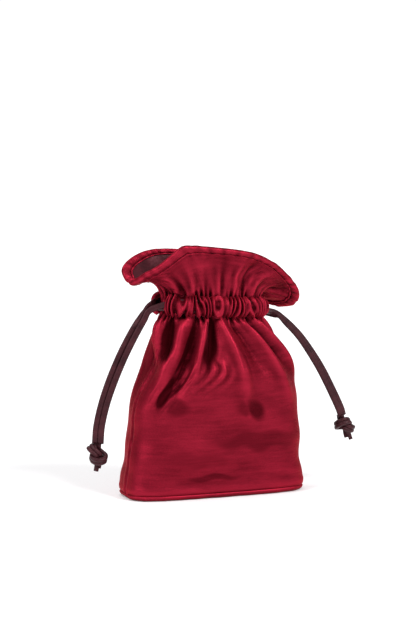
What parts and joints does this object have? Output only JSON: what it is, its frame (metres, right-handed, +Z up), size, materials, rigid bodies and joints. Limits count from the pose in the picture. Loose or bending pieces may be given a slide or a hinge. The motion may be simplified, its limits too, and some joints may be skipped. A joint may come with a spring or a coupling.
{
  "type": "kinchaku drawstring pouch",
  "caption": "Lined velvet drawstring pouch standing drawn shut, with a bound flaring collar, a gathered cord casing and knotted leather cords at both sides.",
  "frame": {"origin": "middle of the base, on the surface the pouch stands on", "axes": "+Z up through the neck, front panel facing -Y, left side seam towards -X"},
  "size_m": [0.2898, 0.086, 0.2514],
  "materials": {
    "velvet": "crimson silk velvet, slightly crushed, satiny pile",
    "lining": "dusky rose-brown satin lining",
    "leather": "dark wine-brown soft leather strap, folded flat"
  },
  "bodies": {
    "root": {"front_panel": "velvet", "back_panel": "velvet", "base_panel": "velvet", "front_casing": "velvet", "back_casing": "velvet", "rim_binding": "velvet", "front_lining": "lining", "back_lining": "lining", "base_lining": "lining", "left_drawstring": "leather", "right_drawstring": "leather", "left_knot": "leather", "right_knot": "leather"}
  },
  "joints": []
}
